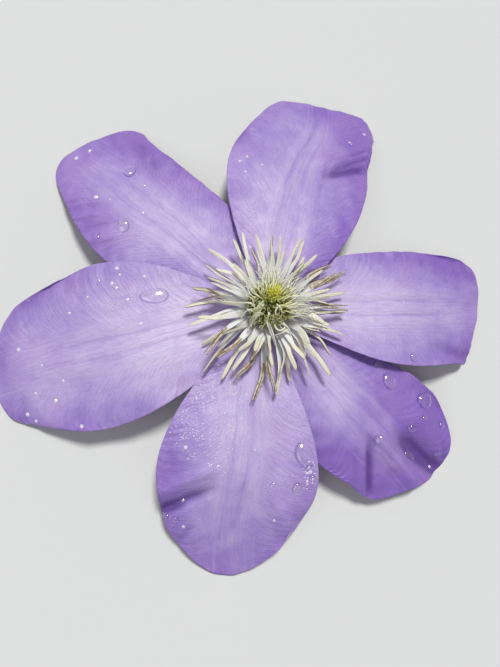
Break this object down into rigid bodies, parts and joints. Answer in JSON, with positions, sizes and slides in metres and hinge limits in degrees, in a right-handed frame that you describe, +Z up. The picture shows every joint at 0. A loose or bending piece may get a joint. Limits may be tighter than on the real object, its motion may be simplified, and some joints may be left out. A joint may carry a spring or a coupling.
{
  "type": "clematis flower",
  "caption": "Picked clematis bloom lying face up: broad pointed sepals around a ring of flat stamens and a tuft of styles, with a bent flower stalk.",
  "frame": {"origin": "on the surface that the flower lies on, under the middle of its box", "axes": "+Z up out of the face of the flower, +Y towards the upper sepal, +X towards the right sepal"},
  "size_m": [0.1421, 0.1417, 0.0296],
  "materials": {
    "sepal": "satin",
    "stamen": "matte",
    "carpel": "matte",
    "stalk": "matte",
    "water": "polished"
  },
  "bodies": {
    "root": {"sepal_top": "sepal", "sepal_upper_left": "sepal", "sepal_left": "sepal", "sepal_bottom": "sepal", "sepal_lower_right": "sepal", "sepal_right": "sepal", "stalk_receptacle": "stalk", "carpel_head": "carpel", "stamen_01": "stamen", "stamen_02": "stamen", "stamen_03": "stamen", "stamen_04": "stamen", "stamen_05": "stamen", "stamen_06": "stamen", "stamen_07": "stamen", "stamen_08": "stamen", "stamen_09": "stamen", "stamen_10": "stamen", "stamen_11": "stamen", "stamen_12": "stamen", "stamen_13": "stamen", "stamen_14": "stamen", "stamen_15": "stamen", "stamen_16": "stamen", "stamen_17": "stamen", "stamen_18": "stamen", "stamen_19": "stamen", "stamen_20": "stamen", "stamen_21": "stamen", "stamen_22": "stamen", "stamen_23": "stamen", "stamen_24": "stamen", "stamen_25": "stamen", "stamen_26": "stamen", "stamen_27": "stamen", "stamen_28": "stamen", "stamen_29": "stamen", "stamen_30": "stamen", "stamen_31": "stamen", "stamen_32": "stamen", "stamen_33": "stamen", "stamen_34": "stamen", "stamen_35": "stamen", "stamen_36": "stamen", "stamen_37": "stamen", "stamen_38": "stamen", "stamen_39": "stamen", "stamen_40": "stamen", "stamen_41": "stamen", "stamen_42": "stamen", "stamen_43": "stamen", "stamen_44": "stamen", "stamen_45": "stamen", "stamen_46": "stamen", "stamen_47": "stamen", "stamen_48": "stamen", "stamen_49": "stamen", "stamen_50": "stamen", "stamen_51": "stamen", "stamen_52": "stamen"}
  },
  "joints": []
}
